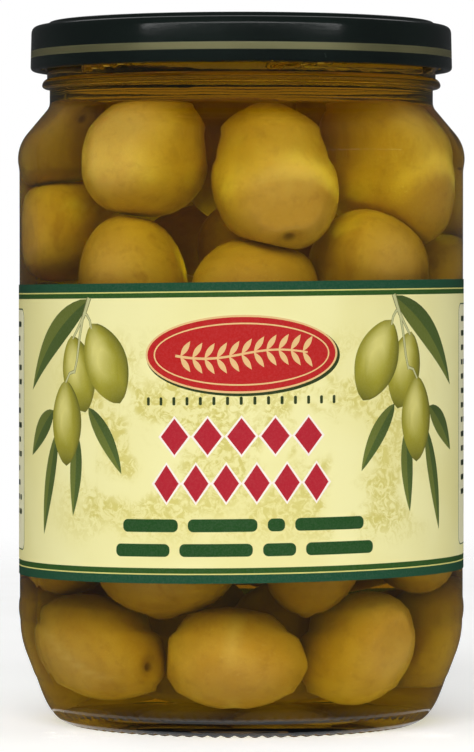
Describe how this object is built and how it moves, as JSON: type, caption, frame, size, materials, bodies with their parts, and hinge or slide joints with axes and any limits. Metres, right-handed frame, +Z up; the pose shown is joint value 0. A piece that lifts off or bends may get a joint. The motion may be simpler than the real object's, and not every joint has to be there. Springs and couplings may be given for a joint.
{
  "type": "jar of green olives",
  "caption": "Shut glass jar of green olives in brine, with a paper wrap-round label, a twist-off metal lid and a notched standing ring.",
  "frame": {"origin": "on the jar's axis, on the surface that the jar stands on", "axes": "+Z up along the jar's axis, -Y towards the front of the label"},
  "size_m": [0.0906, 0.0906, 0.1419],
  "materials": {
    "glass": "clear polished soda-lime glass",
    "lid_paint": "gloss very dark green lacquer with a gold line",
    "label_paper": "satin printed paper",
    "brine": "clear amber liquid",
    "olive_skin": "smooth moist skin"
  },
  "bodies": {
    "root": {"glass_jar": "glass", "lid": "lid_paint", "label": "label_paper", "brine": "brine"}
  },
  "joints": []
}
